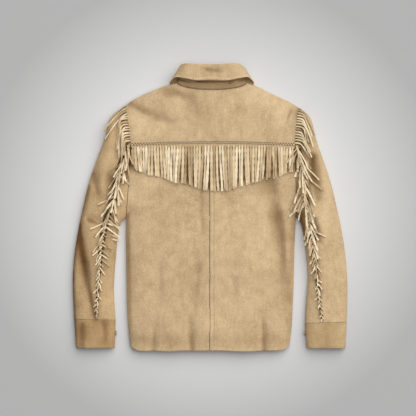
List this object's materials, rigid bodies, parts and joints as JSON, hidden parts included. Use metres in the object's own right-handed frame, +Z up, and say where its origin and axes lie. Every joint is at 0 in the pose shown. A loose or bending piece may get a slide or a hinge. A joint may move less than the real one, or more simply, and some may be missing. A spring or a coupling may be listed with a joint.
{
  "type": "fringed suede jacket",
  "caption": "Western overshirt jacket in tan suede, laid face down: folded collar, laced pointed yoke with hanging fringe, fringed sleeves, cuffs and buttoned front.",
  "frame": {"origin": "middle of the jacket's outline as seen from above, on the surface that it lies on", "axes": "+Y towards the collar, +X to the right for someone who looks down on the back, +Z up from the surface"},
  "size_m": [0.712, 0.7491, 0.0526],
  "materials": {
    "suede": "matte",
    "fringe_suede": "matte",
    "button": "satin"
  },
  "bodies": {
    "root": {"back_left": "suede", "back_right": "suede", "back_yoke": "suede", "front_left": "suede", "front_right": "suede", "front_band": "suede", "sleeve_left_top": "suede", "sleeve_left_under": "suede", "sleeve_right_top": "suede", "sleeve_right_under": "suede", "cuff_left": "suede", "cuff_right": "suede", "collar_stand": "suede", "collar_leaf": "suede", "yoke_fringe": "fringe_suede", "yoke_lacing": "fringe_suede", "armhole_fringe_left": "fringe_suede", "armhole_fringe_right": "fringe_suede", "sleeve_fringe_left": "fringe_suede", "sleeve_fringe_right": "fringe_suede", "front_button_1": "button", "front_button_2": "button", "front_button_3": "button", "front_button_4": "button", "front_button_5": "button", "front_button_6": "button", "front_button_7": "button", "cuff_button_left": "button", "cuff_button_right": "button"}
  },
  "joints": []
}
